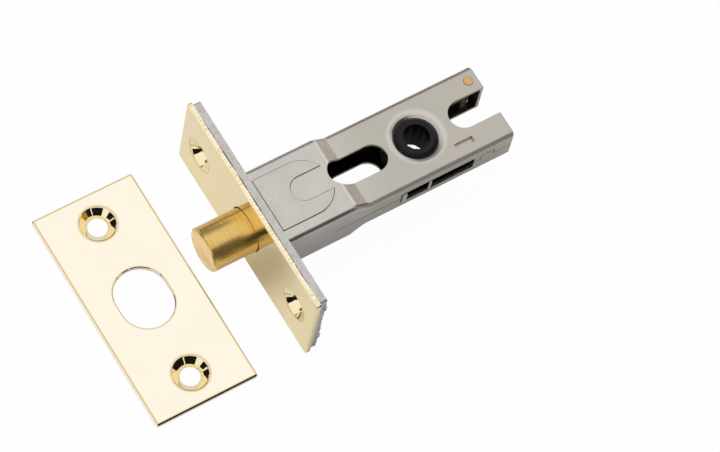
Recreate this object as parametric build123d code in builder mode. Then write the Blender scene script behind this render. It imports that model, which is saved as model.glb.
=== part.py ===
"""Privacy bolt for a door, with its keep plate.

The origin is on the follower's axis, half way through the case. The bolt throws
towards -X, the forend's long side runs along Y, and the spindle runs along Z.
"""
from build123d import *

import os
from math import cos, radians, sin

os.makedirs("parts", exist_ok=True)

# Forend: a polished brass faceplate over a steel plate
backset = 44.6
plate_length = 57.0
faceplate_width = 25.0
brass_sheet = 1.2
plate_corner = 0.5
plate_edge = 0.3
forend_steel = 1.8
forend_margin = 0.7
forend_corner = 0.4
pip_size = (0.6, 1.6, 2.2)
pip_height = 7.2

# Screws of both plates, in countersinks pressed through the sheet
screw_inset = 7.6
screw_hole_radius = 2.35
sink_radius = 4.35
sink_depth = 2.2
dimple_room = 0.25

# Bolt
bolt_radius = 5.4
bolt_throw = 11.3
nose_chamfer = 0.35
faceplate_hole_radius = 5.6
guide_clearance = 0.05
guide_room = 0.2

# Case of two pressed trays, deeper in front of the ramp than behind it
case_height = 20.0
front_depth = 14.4
rear_depth = 9.9
case_sheet = 0.9
case_length = 65.1
ramp_start = 22.5
ramp_run = 3.5
bend_radius = 1.3
rear_edge = 0.35
crease_radius = 1.6

# Seam between the trays, with one tooth that keys them together
seam_gap = 0.2
seam_opening = 18.0
tooth_start = 56.5
tooth_length = 3.4
tooth_height = 1.6

# Openings of the case, from the front of the faceplate
slot_middle = 28.7
slot_length = 15.4
slot_width = 7.0
fork_depth = 11.5
fork_width = 7.3
window_height = 4.1
window_corner = 0.3
window_room = 0.15
rim_radius = 5.1
rim_depth = 1.9
dish_round = 3.0
dish_angle = 40.0
dish_steps = 3
lance_start = 51.1
lance_length = 4.8
lance_width = 1.5
lance_side = 6.45
lance_drop = 0.85

# Raised pad on the front of each tray
pad_start = 4.8
pad_end_centre = 14.2
pad_half_width = 7.1
pad_notch_centre = 14.35
pad_notch_radius = 3.03
pad_rise = 0.25
pad_edge = 0.2

# Tabs that hold the trays in the forend plate
tab_width = 8.0
tab_fit = 0.05

# Rivet through one prong
rivet_radius = 1.1
rivet_hole_radius = 1.2
rivet_place = (62.65, 6.6)
rivet_proud = 0.1

# Follower for a square spindle, with the arm that drives the tail
spindle_square = 5.1
star_tip_radius = 3.1
follower_radius = 4.8
shoulder_radius = 5.6
shoulder_thickness = 0.45
shoulder_clearance = 0.1
journal_clearance = 0.08
collar_height = 4.95
collar_below = 5.4
collar_chamfer = 0.7
flat_distance = 4.4
follower_turn = 90.0
arm_thickness = 2.6
arm_tip_radius = 2.2
arm_half_width = 1.2
arm_reach = 9.3

# Bolt tail
tail_thickness = 1.2
tail_gap = 0.4
tail_room = 0.3
tail_bar = 2.9
bar_overhang = 0.4
tail_inside = 5.8
front_lug_room = 0.35
rear_lug_room = 1.3
front_lug = 1.2
rear_lug = 0.7
lug_depth = 3.6
lug_inner = 5.9
front_lug_outer = 10.3
rear_lug_outer = 10.05
ear_inner = 7.7
pin_radius = 1.0
pin_inset = 1.3
pin_length = 10.2

# Leaf spring beside the follower
leaf = 0.3
leaf_height = 2.0
leaf_room = 0.05
leaf_end = -5.5

# Keep plate, lying flat in front of the forend
keep_width = 26.1
keep_hole_length = 15.4
keep_hole_width = 12.7
keep_hole_edge = 0.15
keep_place = (-25.62, -0.03)

front_x = -backset
forend_x = front_x + brass_sheet
case_x = forend_x + forend_steel
rear_x = front_x + case_length
half_height = case_height / 2
half_front = front_depth / 2
half_rear = rear_depth / 2
drive_radius = bolt_throw / (2 * sin(radians(follower_turn / 2)))
arm_x = -drive_radius * sin(radians(follower_turn / 2))
front_lug_x = arm_x - arm_tip_radius - front_lug_room
rear_lug_x = arm_x + arm_tip_radius + rear_lug_room
tail_base = arm_thickness / 2 + tail_gap
screw_spacing = plate_length - 2 * screw_inset
forend_length = plate_length - 2 * forend_margin
slot_front_x = front_x + slot_middle - slot_length / 2
bar_rear_x = slot_front_x - bolt_throw - tail_room
bolt_rear_x = bar_rear_x - bar_overhang
tail_front_x = bar_rear_x - tail_bar
pin_x = tail_front_x + pin_inset
guide_length = tail_front_x - tail_room - case_x
window_front = front_lug_x - front_lug - window_room
window_rear = rear_lug_x + rear_lug + bolt_throw + window_room
through = 2 * front_depth
dish_radius = rim_radius + dish_round * sin(radians(dish_angle))
dish_depth = dish_round * (1 - cos(radians(dish_angle)))
rivet_x = front_x + rivet_place[0]
rivet_y = rivet_place[1]


def sunk_plate(face, width):
    """Brass sheet with its outer side on face, and two dimpled screw holes."""
    sheet_slope = brass_sheet * (2 ** 0.5 - 1)
    dimple_base = sink_radius + sheet_slope
    dimple_length = sink_depth - brass_sheet
    with BuildPart() as plate:
        with BuildSketch(face):
            RectangleRounded(plate_length, width, plate_corner)
        extrude(amount=-brass_sheet)
        chamfer(plate.faces().sort_by(Axis(face.origin, face.z_dir))[-1].edges(), plate_edge)
        with Locations(face.offset(-brass_sheet)):
            with GridLocations(screw_spacing, 0, 2, 1):
                with Locations(Rotation(180, 0, 0)):
                    Cone(dimple_base, dimple_base - dimple_length, dimple_length,
                         align=(Align.CENTER, Align.CENTER, Align.MIN))
        with Locations(face):
            with GridLocations(screw_spacing, 0, 2, 1):
                CounterSinkHole(screw_hole_radius, sink_radius, 2 * sink_depth, 90)
    return plate.part


def case_form(inset):
    """Closed form of the case, or with inset the hollow in it, open at the front."""
    start_x = case_x - 1.0 - inset if inset else case_x
    ramp_x = front_x + ramp_start
    ramp_end_x = ramp_x + ramp_run
    with BuildPart() as form:
        with BuildSketch(Plane.XZ):
            with BuildLine():
                upper = Polyline((start_x, 0), (start_x, half_front), (ramp_x, half_front),
                                 (ramp_end_x, half_rear), (rear_x, half_rear), (rear_x, 0))
                mirror(upper, about=Plane.XZ)
            make_face()
            if inset:
                offset(amount=-inset, kind=Kind.INTERSECTION)
        extrude(amount=half_height - inset, both=True)
        creases = form.edges().filter_by(Axis.Y).filter_by_position(Axis.X, ramp_x - 1, ramp_end_x + 1)
        fillet(creases, crease_radius)
        if not inset:
            sides = form.faces().sort_by(Axis.Y)
            ends = form.faces().sort_by(Axis.X)
            outline = [*sides[0].edges(), *sides[-1].edges()]
            end_edges = [*ends[0].edges(), *ends[-1].edges()]
            bends = [edge for edge in outline if not any(edge.is_same(other) for other in end_edges)]
            fillet(ShapeList(bends), bend_radius)
            chamfer(form.faces().sort_by(Axis.X)[-1].edges(), rear_edge)
    return form.part


def seam_region(gap):
    """Everything above the seam, with the seam raised by gap where it stands open."""
    with BuildPart() as region:
        with BuildSketch(Plane.XZ):
            with Locations((front_x - 1, 0)):
                Rectangle(seam_opening + 1, front_depth, align=(Align.MIN, Align.MIN))
            with Locations((front_x + seam_opening, gap)):
                Rectangle(case_length, front_depth, align=(Align.MIN, Align.MIN))
            with Locations((front_x + tooth_start + tooth_length / 2, 0)):
                Rectangle(tooth_length + 2 * gap, 2 * (tooth_height + gap), mode=Mode.SUBTRACT)
        extrude(amount=case_height, both=True)
    return region.part


def pad_outline(face):
    """Tongue with a round notch, pressed up from the front of a tray."""
    with BuildSketch(face) as outline:
        with Locations((front_x + pad_end_centre, 0)):
            Circle(pad_half_width)
            Rectangle(pad_end_centre - pad_start, 2 * pad_half_width, align=(Align.MAX, Align.CENTER))
        with Locations((front_x + pad_start, 0)):
            Rectangle(pad_half_width, 3 * pad_half_width, align=(Align.MAX, Align.CENTER), mode=Mode.SUBTRACT)
        with Locations((front_x + pad_notch_centre, 0)):
            Circle(pad_notch_radius, mode=Mode.SUBTRACT)
            Rectangle(2 * pad_half_width, 2 * pad_notch_radius, align=(Align.MIN, Align.CENTER),
                      mode=Mode.SUBTRACT)
    return outline.sketch


def pressed_case():
    """Both trays of the case as one sheet, before they part along the seam."""
    with BuildPart() as case:
        add(case_form(0))
        add(case_form(case_sheet), mode=Mode.SUBTRACT)
        for side in (1, -1):
            outside = Plane.XY.offset(side * half_front)
            pad = extrude(pad_outline(outside), amount=side * pad_rise)
            raised = pad.faces().sort_by(Axis.Z)[-1 if side > 0 else 0]
            chamfer(case.edges().filter_by(lambda edge: any(edge.is_same(e) for e in raised.edges())), pad_edge)
            with BuildSketch(Plane.XY.offset(side * (half_rear - rim_depth))):
                Circle(rim_radius + case_sheet)
            extrude(amount=side * (rim_depth - case_sheet / 2))
            with BuildSketch(Plane.XY.offset(side * (half_front - case_sheet))):
                with Locations((case_x, 0)):
                    Rectangle(2 * forend_steel, tab_width)
            extrude(amount=side * case_sheet)
        with BuildSketch():
            with Locations((front_x + slot_middle, 0)):
                SlotOverall(slot_length, slot_width)
            with Locations((rear_x - fork_depth + fork_width / 2, 0)):
                Circle(fork_width / 2)
                Rectangle(fork_depth, fork_width, align=(Align.MIN, Align.CENTER))
            with Locations((rivet_x, rivet_y)):
                Circle(rivet_hole_radius)
            Circle(rim_radius)
        extrude(amount=through, both=True, mode=Mode.SUBTRACT)
        with BuildSketch(Plane.XZ):
            with Locations(((window_front + window_rear) / 2, 0)):
                RectangleRounded(window_rear - window_front, window_height, window_corner)
        extrude(amount=case_height, both=True, mode=Mode.SUBTRACT)
        with BuildSketch(Plane.XZ):
            with BuildLine():
                dish = CenterArc((dish_radius, half_rear - dish_round), dish_round, 90, dish_angle,
                                 mode=Mode.PRIVATE)
                slope = Polyline(*[dish @ (step / dish_steps) for step in range(dish_steps + 1)])
                Polyline(slope @ 0, (0, half_rear), (0, half_rear - dish_depth), slope @ 1)
            make_face()
            mirror(about=Plane.XZ)
        revolve(axis=Axis.Z, mode=Mode.SUBTRACT)
    return case.part


case_blank = pressed_case()

faceplate_face = Plane(origin=(front_x, 0, 0), x_dir=(0, 1, 0), z_dir=(-1, 0, 0))
with BuildPart() as faceplate:
    add(sunk_plate(faceplate_face, faceplate_width))
    with Locations(faceplate_face):
        Hole(faceplate_hole_radius, 2 * sink_depth)
faceplate.part.label = "faceplate"
export_step(faceplate.part, "parts/faceplate.step")

with BuildPart() as forend_plate:
    with BuildSketch(Plane(origin=(forend_x, 0, 0), x_dir=(0, 1, 0), z_dir=(1, 0, 0))):
        RectangleRounded(forend_length, faceplate_width, forend_corner)
        Circle(faceplate_hole_radius, mode=Mode.SUBTRACT)
        with GridLocations(screw_spacing, 0, 2, 1):
            Circle(sink_radius + brass_sheet * (2 ** 0.5 - 1) + dimple_room, mode=Mode.SUBTRACT)
        with GridLocations(0, front_depth - case_sheet, 1, 2):
            Rectangle(tab_width + 2 * tab_fit, case_sheet + 2 * tab_fit, mode=Mode.SUBTRACT)
    extrude(amount=forend_steel)
    with Locations((case_x, 0, 0)):
        with GridLocations(0, forend_length - pip_size[1], 1, 2):
            with Locations((0, 0, pip_height), (0, 0, -pip_height)):
                Box(*pip_size, align=(Align.MIN, Align.CENTER, Align.CENTER))
forend_plate.part.label = "forend_plate"
export_step(forend_plate.part, "parts/forend_plate.step")

with BuildPart() as case_top:
    add(case_blank)
    add(seam_region(seam_gap), mode=Mode.INTERSECT)
    with BuildSketch(Plane.XY.offset(half_rear)):
        with Locations((front_x + lance_start, -lance_side)):
            Rectangle(lance_length, lance_width, align=(Align.MIN, Align.CENTER))
    extrude(amount=-case_sheet, mode=Mode.SUBTRACT)
    with BuildSketch(Plane.XY.offset(half_rear - lance_drop)):
        with Locations((front_x + lance_start - case_sheet, -lance_side)):
            Rectangle(lance_length + 2 * case_sheet, lance_width, align=(Align.MIN, Align.CENTER))
    extrude(amount=-case_sheet)
case_top.part.label = "case_top"
export_step(case_top.part, "parts/case_top.step")

with BuildPart() as case_bottom:
    add(case_blank)
    add(seam_region(0), mode=Mode.SUBTRACT)
case_bottom.part.label = "case_bottom"
export_step(case_bottom.part, "parts/case_bottom.step")

with BuildPart() as bolt_guide:
    with BuildSketch(Plane.YZ.offset(case_x)):
        inner_height = case_height - 2 * (case_sheet + guide_room)
        inner_depth = front_depth - 2 * (case_sheet + guide_room)
        Rectangle(inner_height, inner_depth)
        Circle(bolt_radius + guide_clearance, mode=Mode.SUBTRACT)
    extrude(amount=guide_length)
bolt_guide.part.label = "bolt_guide"
export_step(bolt_guide.part, "parts/bolt_guide.step")

with BuildPart() as rear_rivet:
    with Locations((rivet_x, rivet_y, 0)):
        Cylinder(rivet_radius, rear_depth + 2 * rivet_proud)
rear_rivet.part.label = "rear_rivet"
export_step(rear_rivet.part, "parts/rear_rivet.step")

with BuildPart() as bolt:
    nose_x = front_x - bolt_throw
    with BuildSketch(Plane.YZ.offset(nose_x)):
        Circle(bolt_radius)
    extrude(amount=bolt_rear_x - nose_x)
    chamfer(bolt.edges().sort_by(Axis.X)[0], nose_chamfer)
    with Locations((bolt_rear_x, 0, tail_base - guide_clearance)):
        Box(bolt_rear_x - tail_front_x + tail_room, 2 * bolt_radius, tail_thickness + 2 * guide_clearance,
            align=(Align.MAX, Align.CENTER, Align.MIN), mode=Mode.SUBTRACT)
    with BuildSketch():
        with Locations((pin_x, 0)):
            Circle(pin_radius)
    extrude(amount=through, both=True, mode=Mode.SUBTRACT)
bolt.part.label = "bolt"
export_step(bolt.part, "parts/bolt.step")

with BuildPart() as bolt_tail:
    tail_half = half_height - case_sheet - tail_room
    tail_end = rear_lug_x + rear_lug
    with BuildSketch(Plane.XY.offset(tail_base)):
        with Locations((tail_front_x, 0)):
            Rectangle(tail_end - tail_front_x, 2 * tail_half, align=(Align.MIN, Align.CENTER))
        with Locations((bar_rear_x, 0)):
            Rectangle(through * 2, 2 * tail_inside, align=(Align.MIN, Align.CENTER), mode=Mode.SUBTRACT)
        with Locations((pin_x, 0)):
            Circle(pin_radius, mode=Mode.SUBTRACT)
    extrude(amount=tail_thickness)
    fillet(bolt_tail.edges().filter_by(Axis.Z).group_by(Axis.X)[0], tail_bar / 4)
    with BuildSketch(Plane.XY.offset(tail_base)):
        with Locations((front_lug_x, -lug_inner)):
            Rectangle(front_lug, front_lug_outer - lug_inner, align=(Align.MAX, Align.MAX))
        with Locations((rear_lug_x, -lug_inner)):
            Rectangle(rear_lug, rear_lug_outer - lug_inner, align=(Align.MIN, Align.MAX))
        with Locations((rear_lug_x, ear_inner)):
            Rectangle(rear_lug, rear_lug_outer - ear_inner, align=(Align.MIN, Align.MIN))
    extrude(amount=-lug_depth)
bolt_tail.part.label = "bolt_tail"
export_step(bolt_tail.part, "parts/bolt_tail.step")

with BuildPart() as tail_pin:
    with Locations((pin_x, 0, 0)):
        Cylinder(pin_radius, pin_length)
tail_pin.part.label = "tail_pin"
export_step(tail_pin.part, "parts/tail_pin.step")

with BuildPart() as follower:
    journal_radius = rim_radius - journal_clearance
    shoulder_height = half_rear - rim_depth - shoulder_clearance
    arm_base = arm_thickness / 2
    with BuildSketch(Plane.XZ):
        with BuildLine():
            Polyline((0, -collar_below), (journal_radius - collar_chamfer, -collar_below),
                     (journal_radius, collar_chamfer - collar_below), (journal_radius, -arm_base),
                     (follower_radius, -arm_base), (follower_radius, shoulder_height - shoulder_thickness),
                     (shoulder_radius, shoulder_height - shoulder_thickness), (shoulder_radius, shoulder_height),
                     (journal_radius, shoulder_height), (journal_radius, collar_height - collar_chamfer),
                     (journal_radius - collar_chamfer, collar_height), (0, collar_height), close=True)
        make_face()
    revolve(axis=Axis.Z)
    with BuildSketch(Plane.XY.offset(-leaf_height / 2)):
        with Locations((flat_distance, 0)):
            Rectangle(arm_reach, 2 * arm_reach, align=(Align.MIN, Align.CENTER))
        with Locations((0, flat_distance)):
            Rectangle(2 * arm_reach, arm_reach, align=(Align.CENTER, Align.MIN))
    extrude(amount=leaf_height, mode=Mode.SUBTRACT)
    with BuildSketch(Plane.XY.offset(-arm_thickness / 2)):
        with Locations((arm_x, arm_x)):
            Circle(arm_tip_radius)
        with Locations(Rotation(0, 0, -135)):
            Rectangle(drive_radius, 2 * arm_half_width, align=(Align.MIN, Align.CENTER))
        Circle(arm_reach, mode=Mode.INTERSECT)
    extrude(amount=arm_thickness)
    with BuildSketch():
        for turn in (0, 30, 60):
            Rectangle(spindle_square, spindle_square, rotation=turn)
        Circle(star_tip_radius, mode=Mode.INTERSECT)
    extrude(amount=through, both=True, mode=Mode.SUBTRACT)
follower.part.label = "follower"
export_step(follower.part, "parts/follower.step")

with BuildPart() as detent_spring:
    loop_inside = rivet_radius + leaf_room
    leaf_y = rivet_y - loop_inside - leaf
    with BuildSketch(Plane.XY.offset(-leaf_height / 2)):
        with Locations((rivet_x, rivet_y)):
            Circle(loop_inside + leaf)
            Circle(loop_inside, mode=Mode.SUBTRACT)
            Rectangle(2 * loop_inside, 2 * loop_inside, align=(Align.MAX, Align.MIN), mode=Mode.SUBTRACT)
        with Locations((leaf_end, leaf_y)):
            Rectangle(rivet_x - leaf_end, leaf, align=(Align.MIN, Align.MIN))
        with Locations((leaf_end, leaf_y)):
            Rectangle(leaf, 3 * leaf, align=(Align.MAX, Align.MIN))
    extrude(amount=leaf_height)
detent_spring.part.label = "detent_spring"
export_step(detent_spring.part, "parts/detent_spring.step")

keep_top = sink_depth - faceplate_width / 2
keep_face = Plane(origin=(front_x + keep_place[0], keep_place[1], keep_top), x_dir=(0, 1, 0), z_dir=(0, 0, 1))
with BuildPart() as strike_plate:
    add(sunk_plate(keep_face, keep_width))
    with BuildSketch(keep_face):
        SlotOverall(keep_hole_length, keep_hole_width)
    extrude(amount=-brass_sheet, mode=Mode.SUBTRACT)
    rim = strike_plate.faces().filter_by(Axis.Z).sort_by(Axis.Z)[-1].inner_wires().sort_by(Edge.length)[-1]
    chamfer(rim.edges(), keep_hole_edge)
strike_plate.part.label = "strike_plate"
export_step(strike_plate.part, "parts/strike_plate.step")
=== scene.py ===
"""Privacy bolt and keep plate, dressed in their finishes and set on a plain stage."""

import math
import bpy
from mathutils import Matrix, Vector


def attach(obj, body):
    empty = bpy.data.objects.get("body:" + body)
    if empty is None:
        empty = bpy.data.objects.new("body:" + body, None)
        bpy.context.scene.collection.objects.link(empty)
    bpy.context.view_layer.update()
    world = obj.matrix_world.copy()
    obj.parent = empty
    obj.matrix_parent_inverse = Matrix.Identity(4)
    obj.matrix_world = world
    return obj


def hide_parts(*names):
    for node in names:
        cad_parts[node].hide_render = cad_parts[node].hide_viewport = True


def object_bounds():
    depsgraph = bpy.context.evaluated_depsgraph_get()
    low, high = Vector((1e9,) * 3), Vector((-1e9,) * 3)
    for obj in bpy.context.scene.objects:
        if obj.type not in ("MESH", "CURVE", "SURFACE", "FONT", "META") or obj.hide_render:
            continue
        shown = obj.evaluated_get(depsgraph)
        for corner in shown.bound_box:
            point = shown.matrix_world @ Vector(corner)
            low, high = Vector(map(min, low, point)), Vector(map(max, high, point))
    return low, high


bl_info = {
    "name": "Privacy Bolt",
    "version": (1, 1, 0),
    "blender": (4, 5, 0),
    "location": "View3D > Sidebar > Privacy Bolt",
    "description": "Dresses a tubular privacy bolt and its keep plate in brass, nickel and nylon",
    "category": "Object",
}

import bmesh
import bpy
from bpy.props import FloatProperty, FloatVectorProperty, IntProperty, PointerProperty
from mathutils import Quaternion, Vector

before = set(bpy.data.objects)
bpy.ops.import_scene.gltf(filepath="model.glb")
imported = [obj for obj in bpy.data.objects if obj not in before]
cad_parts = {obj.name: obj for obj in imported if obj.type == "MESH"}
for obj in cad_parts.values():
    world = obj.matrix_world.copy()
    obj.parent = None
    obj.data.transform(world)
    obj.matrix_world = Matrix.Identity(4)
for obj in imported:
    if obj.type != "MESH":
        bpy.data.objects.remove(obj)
solid_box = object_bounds()

MM = 0.001

# Where the pieces of the source lie, for patterns that follow them
FRONT_X = -44.6 * MM
FOREND_X = FRONT_X + 1.2 * MM
CASE_X = FRONT_X + 3.0 * MM
REAR_X = FRONT_X + 65.1 * MM
RAMP_X = FRONT_X + 22.5 * MM
RAMP_END_X = RAMP_X + 3.5 * MM
HALF_FRONT = 7.2 * MM
HALF_REAR = 4.95 * MM
HALF_WIDTH = 10.0 * MM
DISH_RADIUS = 7.1 * MM
LANCE_MIDDLE = (FRONT_X + 53.5 * MM, -6.45 * MM)
LANCE_HALVES = (2.45 * MM, 0.8 * MM)
SOCKET_REACH = 3.5 * MM
HUB_SHOULDER = 3.4 * MM
BURR_ROW_END = 8 * MM
HALF_FOREND = 27.8 * MM
HALF_PLATE = 12.5 * MM
HALF_KEEP = 13.05 * MM
HALF_LENGTH = 28.5 * MM
BOLT_HOLE = 5.6 * MM
KEEP_HOLE = 6.35 * MM
KEEP_HOLE_STRETCH = 1.35 * MM
SCREW_Y = 20.9 * MM
SINK_RADIUS = 4.35 * MM
SCREW_HOLE = 2.35 * MM
FACE_CENTRE = (FRONT_X, 0, 0)
KEEP_CENTRE = (FRONT_X - 25.62 * MM, -0.03 * MM, -10.3 * MM)

# Pressed dimples, a little wider at the mouth than the plain countersinks
MOUTH_RADIUS = 4.62 * MM
THROAT_RADIUS = 3.05 * MM
DIMPLE_REACH = 5.2 * MM
DIMPLE_TURNS = 96
DIMPLE_ROWS = 26
CONE_SLOPE = 42  # degrees
THROAT_SLOPE = 15  # degrees more

# Linear colours of painted shade with some grease in the case's hollow, and of the dirt in the plates' joint
SHADED_OILY_TRAY = (0.02, 0.018, 0.015)
SHADED_OILY_TAIL = (0.03, 0.028, 0.022)
SHADED_OILY_STRIP = (0.05, 0.045, 0.04)
JOINT_DIRT = (0.03, 0.025, 0.018)


def screen_colour(name, description, *rgb):
    """A colour setting, given as it looks on screen, 0 to 255, and kept in the linear values of a shader."""
    linear = tuple(((c / 255 + 0.055) / 1.055) ** 2.4 if c > 10 else c / 255 / 12.92 for c in rgb)
    return FloatVectorProperty(name=name, description=description, subtype="COLOR", size=3, min=0, max=1,
                               default=linear)


# Sizes and colours


class BrassSettings(bpy.types.PropertyGroup):
    """Brass of the plates, the bolt and the rivet."""

    # The keep's paler colour is the faceplate's brass with a painted highlight
    keep: screen_colour("Keep plate", "Colour of the polished keep plate", 254, 246, 226)
    face: screen_colour("Faceplate", "Colour of the polished faceplate", 252, 235, 188)
    turned: screen_colour("Turned brass", "Colour of the bolt", 236, 200, 124)
    rivet: screen_colour("Rivet", "Colour of the rivet", 212, 174, 114)
    scratched: screen_colour("Tool marks", "Colour in the turned bolt's tool marks", 184, 136, 62)
    # Painted deeper-gold reflection on the plates' rims; also the colour of the shear's cross lines
    rim_sheen_and_shear_marks: screen_colour("Rim sheen and shear marks", "Deeper gold of the plates' arrises and hole lips", 208, 174, 92)
    edge: screen_colour("Sheared edge", "Colour of the faceplate's long edges", 252, 244, 220)
    # Painted deeper-gold reflection inside the dimples
    dimple: screen_colour("Dimples", "Gold inside the pressed screw dimples", 248, 234, 190)
    polish: FloatProperty(name="Polish", description="Roughness of the polished faces", default=0.05, min=0, max=1)
    satin: FloatProperty(name="Turned satin", description="Roughness of the turned bolt", default=0.28, min=0,
                         max=1)
    turning_pitch: FloatProperty(name="Turning pitch", description="Distance between the tool marks on the bolt",
                                 default=0.14 * MM, unit="LENGTH", min=0.02 * MM)


class SteelSettings(bpy.types.PropertyGroup):
    """Satin plate of the case and the bare steel behind the faceplate."""

    nickel: screen_colour("Satin nickel", "Colour of the pressed trays", 203, 198, 191)
    # The rear colour is painted shade: darker and warmer than the front
    rear_shade: screen_colour("Shaded rear nickel", "Colour that the rear of the trays tends to", 186, 180, 169)
    # A darker, browner tone that the ramp is painted
    ramp_tone: screen_colour("Ramp nickel", "Colour of the case's ramp", 168, 158, 142)
    # Painted highlight on the bend before the ramp and in a ring on the hub's dish
    bright: screen_colour("Bright bend", "Colour of the bend before the ramp", 226, 224, 219)
    sheared: screen_colour("Sheared steel", "Colour of the forend's back plate", 204, 201, 197)
    spring: screen_colour("Spring strip", "Colour of the spring and the tail pin", 150, 147, 142)
    satin: FloatProperty(name="Satin", description="Roughness of the pressed trays", default=0.30, min=0, max=1)


class NylonSettings(bpy.types.PropertyGroup):
    """Black nylon of the follower and the guide."""

    colour: screen_colour("Nylon", "Colour of the moulded pieces", 16, 16, 17)
    # The socket's blacker colour is painted shade inside the spindle socket
    socket_shade: screen_colour("Socket", "Colour inside the spindle socket", 5, 5, 6)
    roughness: FloatProperty(name="Sheen", description="Roughness of the moulded pieces", default=0.36, min=0,
                             max=1)


class BurrSettings(bpy.types.PropertyGroup):
    """Burrs that the shear left on the back plate."""

    spacing: FloatProperty(name="Spacing", description="Distance between neighbouring burrs", default=0.75 * MM,
                           unit="LENGTH", min=0.2 * MM)
    size: FloatProperty(name="Size", description="Radius of a middling burr", default=0.24 * MM, unit="LENGTH",
                        min=0.02 * MM)
    seed: IntProperty(name="Seed", description="Seed of the burrs' sizes and places", default=7, min=0)


class StageSettings(bpy.types.PropertyGroup):
    """Floor, cards, lamp, surroundings and camera."""

    floor_size: FloatProperty(name="Floor size", description="Side of the square floor", default=6.0,
                              unit="LENGTH", min=0.5)
    floor_gap: FloatProperty(name="Floor gap", description="Gap between the floor and what stands on it",
                             default=0.02 * MM, unit="LENGTH", min=0)
    card_distance: FloatProperty(name="Card distance", description="How far off the curved cards stand",
                                 default=0.9, unit="LENGTH", min=0.3)
    lamp_place: FloatVectorProperty(name="Lamp", description="Where the overhead lamp hangs", subtype="XYZ",
                                    unit="LENGTH", size=3, default=(-0.3, 0.45, 0.9))
    lamp_size: FloatProperty(name="Lamp size", description="Side of the square lamp", default=0.6, unit="LENGTH",
                             min=0.01)
    lamp_power: FloatProperty(name="Lamp power", description="Power of the overhead lamp", default=5.5,
                              unit="POWER", min=0)
    sky_light: FloatProperty(name="Sky light", description="How much light the white surroundings give",
                             default=0.4, min=0)
    camera_place: FloatVectorProperty(name="Camera", description="Where the camera stands", subtype="XYZ",
                                      unit="LENGTH", size=3, default=(-0.306862, -0.297097, 0.806))
    camera_turn: FloatVectorProperty(name="Camera turn", description="Turn of the camera as a quaternion",
                                     subtype="QUATERNION", size=4,
                                     default=(0.9405432, 0.1991227, -0.1154538, -0.2497983))
    lens: FloatProperty(name="Lens", description="Focal length for a 36 mm sensor, in millimetres",
                        default=200.0, min=10)


# Node trees


class Wiring:
    """Short calls for adding and joining nodes of one tree."""

    def __init__(self, tree):
        self.tree = tree

    def add(self, kind, place=(0, 0), values=None, **settings):
        """One node with its settings; each value is a socket that feeds an input, or what that input holds."""
        node = self.tree.nodes.new(kind)
        node.location = place
        for name, value in settings.items():
            setattr(node, name, value)
        for name, value in (values or {}).items():
            if isinstance(value, bpy.types.NodeSocket):
                self.join(value, node.inputs[name])
            else:
                node.inputs[name].default_value = value
        return node

    def join(self, source, target):
        self.tree.links.new(source, target)

    def calc(self, operation, *terms, place=(0, 0)):
        """One Math node; each term is a socket or a number."""
        return self.add("ShaderNodeMath", place, dict(enumerate(terms)), operation=operation).outputs[0]

    def ramp(self, value, low, high, start=0.0, end=1.0, smooth=True, place=(0, 0)):
        """start below low, end above high, and between them in between."""
        bounds = {"Value": value, "From Min": low, "From Max": high, "To Min": start, "To Max": end}
        node = self.add("ShaderNodeMapRange", place, bounds, clamp=True,
                        interpolation_type="SMOOTHSTEP" if smooth else "LINEAR")
        return node.outputs["Result"]

    def size(self, value, place=(0, 0)):
        """A value without its sign."""
        return self.calc("ABSOLUTE", value, place=place)

    def length(self, first, second, place=(0, 0)):
        """How long a line is that runs by one value one way and by the other across it."""
        squared = self.calc("MULTIPLY", second, second, place=(place[0] - 300, place[1]))
        squares = self.calc("MULTIPLY_ADD", first, first, squared, place=(place[0] - 150, place[1]))
        return self.calc("SQRT", squares, place=place)

    def grain(self, size, stretch, place=(0, 0)):
        """The height of fine grain."""
        node = self.add("ShaderNodeGroup", place, {"Size": size, "Stretch": stretch}, node_tree=fine_grain())
        return node.outputs["Height"]

    def point(self, place=(0, 0)):
        """The point that is shaded, on the object's own axes."""
        return self.add("ShaderNodeTexCoord", place).outputs["Object"]

    def place_of(self, place=(0, 0)):
        """The x, y and z of the point that is shaded."""
        split = self.add("ShaderNodeSeparateXYZ", (place[0] + 200, place[1]), {0: self.point(place)})
        return split.outputs["X"], split.outputs["Y"], split.outputs["Z"]


def shader_group(name, inputs, outputs):
    """A shader group with nothing in it but its sockets: the inputs with their defaults, and the outputs."""
    group = bpy.data.node_groups.new(name, "ShaderNodeTree")
    kinds = {3: "NodeSocketVector", 4: "NodeSocketColor"}
    for label, default in inputs.items():
        kind = kinds[len(default)] if isinstance(default, tuple) else "NodeSocketFloat"
        group.interface.new_socket(name=label, in_out="INPUT", socket_type=kind).default_value = default
    for label in outputs:
        kind = "NodeSocketColor" if label == "Color" else "NodeSocketFloat"
        group.interface.new_socket(name=label, in_out="OUTPUT", socket_type=kind)
    wiring = Wiring(group)
    return group, wiring, wiring.add("NodeGroupInput", (-1200, 0)), wiring.add("NodeGroupOutput", (900, 0))


def once(name):
    """Builds a node group the first time that it is asked for."""
    def wrap(build):
        return lambda: bpy.data.node_groups.get(name) or build(name)
    return wrap


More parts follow.
